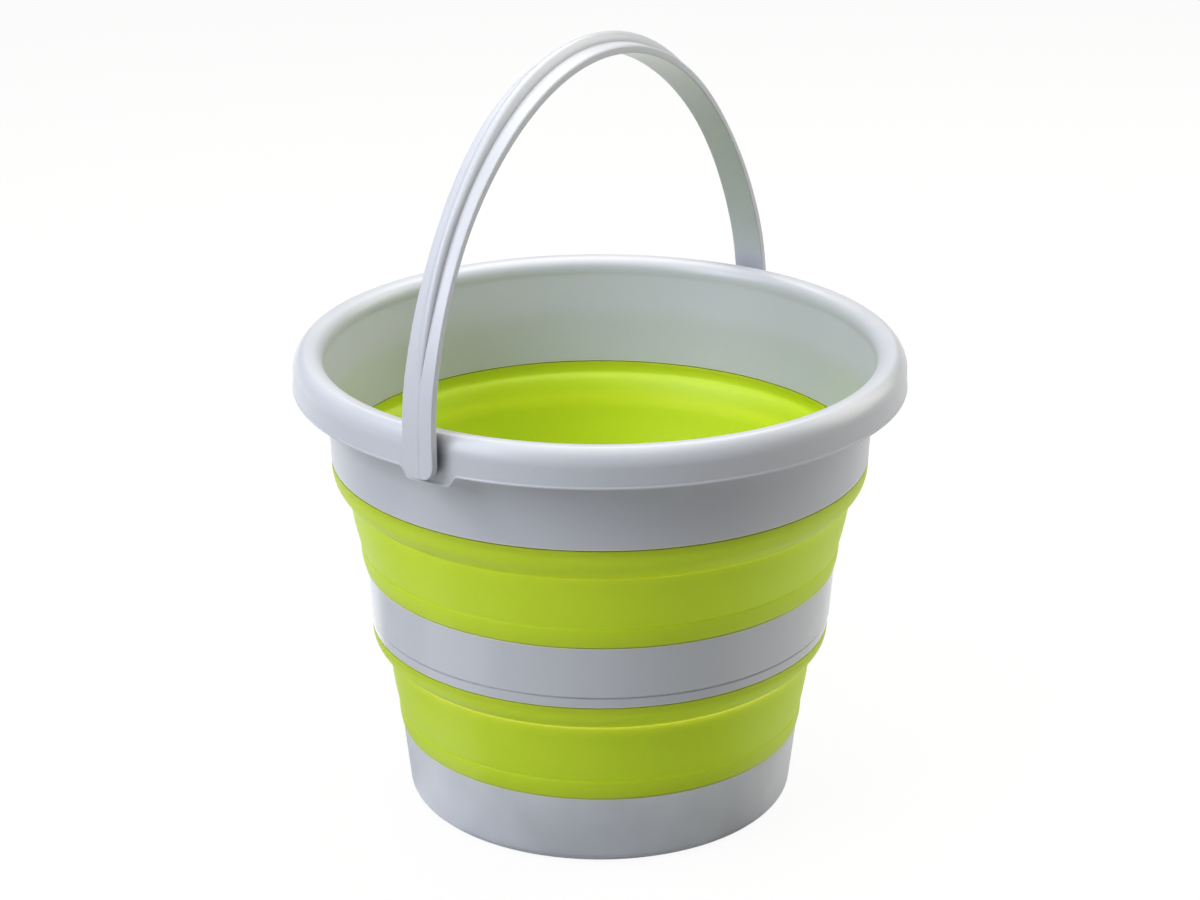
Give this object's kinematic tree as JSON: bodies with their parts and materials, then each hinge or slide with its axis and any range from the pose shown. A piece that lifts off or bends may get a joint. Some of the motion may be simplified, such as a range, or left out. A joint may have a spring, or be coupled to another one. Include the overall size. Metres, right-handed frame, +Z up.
{
  "type": "collapsible bucket",
  "caption": "Round collapsible bucket: hard rings joined by soft bands that roll over when it is pushed flat, with a rolled rim and a swinging strap bail.",
  "frame": {"origin": "centre of the foot, on the floor that the bucket stands on", "axes": "+Z up the bucket's axis, +X along the bail's pivot axis, +Y the side that the bail leans to at rest"},
  "size_m": [0.3328, 0.316, 0.4052],
  "materials": {
    "base_cup": "satin light blue-grey moulding",
    "lower_fold_band": "satin lime green soft moulding",
    "mid_ring": "semi-gloss light blue-grey moulding",
    "upper_fold_band": "satin lime green soft moulding",
    "rim_collar": "satin light blue-grey moulding",
    "swing_bail": "satin light blue-grey moulding"
  },
  "bodies": {
    "base": {"base_cup": "base_cup", "lower_fold_band": "lower_fold_band"},
    "ring": {"mid_ring": "mid_ring", "upper_fold_band": "upper_fold_band"},
    "collar": {"rim_collar": "rim_collar"},
    "bail": {"swing_bail": "swing_bail"}
  },
  "joints": [
    {"name": "ring_slide", "type": "slide", "parent": "base", "child": "ring", "axis": [0, 0, 1], "range_m": [-0.0905, 0], "deforming": ["lower_fold_band"]},
    {"name": "collar_slide", "type": "slide", "parent": "ring", "child": "collar", "axis": [0, 0, 1], "range_m": [-0.09, 0], "deforming": ["upper_fold_band"]},
    {"name": "bail_swing", "type": "hinge", "parent": "collar", "child": "bail", "pos_m": [0, 0, 0.234], "axis": [1, 0, 0], "range_deg": [-101.6, 108.4]}
  ]
}
